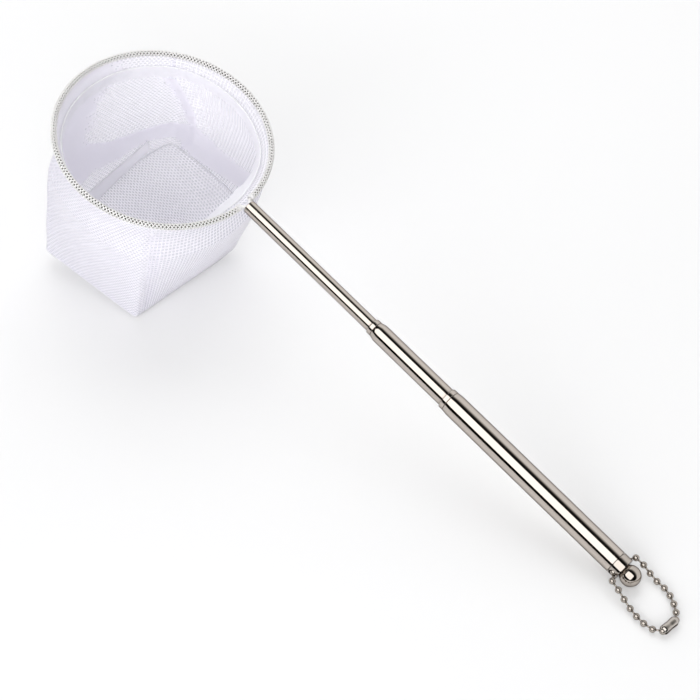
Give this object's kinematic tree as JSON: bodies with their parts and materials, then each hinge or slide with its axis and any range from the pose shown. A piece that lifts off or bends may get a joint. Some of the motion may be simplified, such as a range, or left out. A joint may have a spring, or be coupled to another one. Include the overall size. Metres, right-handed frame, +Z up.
{
  "type": "telescopic net",
  "caption": "Dip net with a round braid-covered hoop, a boxed white net bag, a telescoping polished steel tube handle and a bead chain loop at its ball end.",
  "frame": {"origin": "on the floor, under the middle of the net's box as it lies, chain left out", "axes": "+X along the floor from the hoop to the handle's tail, +Z up, handle's axis in the plane of X and Z"},
  "size_m": [0.358, 0.1032, 0.1017],
  "materials": {
    "tube_steel": "polished stainless, bare",
    "knob_steel": "turned and polished",
    "shell_brass": "satin spring brass",
    "ferrule_brass": "turned, hidden",
    "wire_steel": "bright drawn wire",
    "braid_steel": "bright woven wire",
    "wrap_thread": "matt white thread",
    "net_nylon": "soft white net",
    "hem_nylon": "doubled white net",
    "hem_thread": "white sewing thread",
    "tape_nylon": "white woven tape",
    "chain_steel": "polished",
    "clasp_steel": "polished folded sheet"
  },
  "bodies": {
    "handle": {"handle_tube": "tube_steel", "end_knob": "knob_steel"},
    "chain": {"bead_chain": "chain_steel", "chain_clasp": "clasp_steel"},
    "middle_shells": {"middle_shell_left": "shell_brass", "middle_shell_right": "shell_brass"},
    "middle": {"middle_tube": "tube_steel"},
    "inner_shells": {"inner_shell_left": "shell_brass", "inner_shell_right": "shell_brass"},
    "head": {"inner_tube": "tube_steel", "wire_ferrule": "ferrule_brass", "hoop_wire": "wire_steel", "hoop_braid": "braid_steel", "neck_wrap_left": "wrap_thread", "neck_wrap_right": "wrap_thread", "bag_wall": "net_nylon", "bag_base": "net_nylon", "hem_band": "hem_nylon", "hem_thread": "hem_thread", "seam_tape": "tape_nylon"}
  },
  "joints": [
    {"name": "middle_slide", "type": "slide", "parent": "handle", "child": "middle_shells", "axis": [-0.9593, 0, 0.2825], "range_m": [-0.0428, 0.0325]},
    {"name": "middle_twist", "type": "hinge", "parent": "middle_shells", "child": "middle", "pos_m": [-0.06621, 0.00522, 0.07202], "axis": [-0.9593, 0, 0.2825], "continuous": true},
    {"name": "inner_slide", "type": "slide", "parent": "middle", "child": "inner_shells", "axis": [-0.9593, 0, 0.2825], "range_m": [-0.0685, 0.0012]},
    {"name": "inner_twist", "type": "hinge", "parent": "inner_shells", "child": "head", "pos_m": [-0.06621, 0.00522, 0.07202], "axis": [-0.9593, 0, 0.2825], "continuous": true},
    {"name": "chain_swing", "type": "hinge", "parent": "handle", "child": "chain", "pos_m": [0.15663, 0.00522, 0.00639], "axis": [0, -1, 0], "range_deg": [-150, 140]}
  ]
}
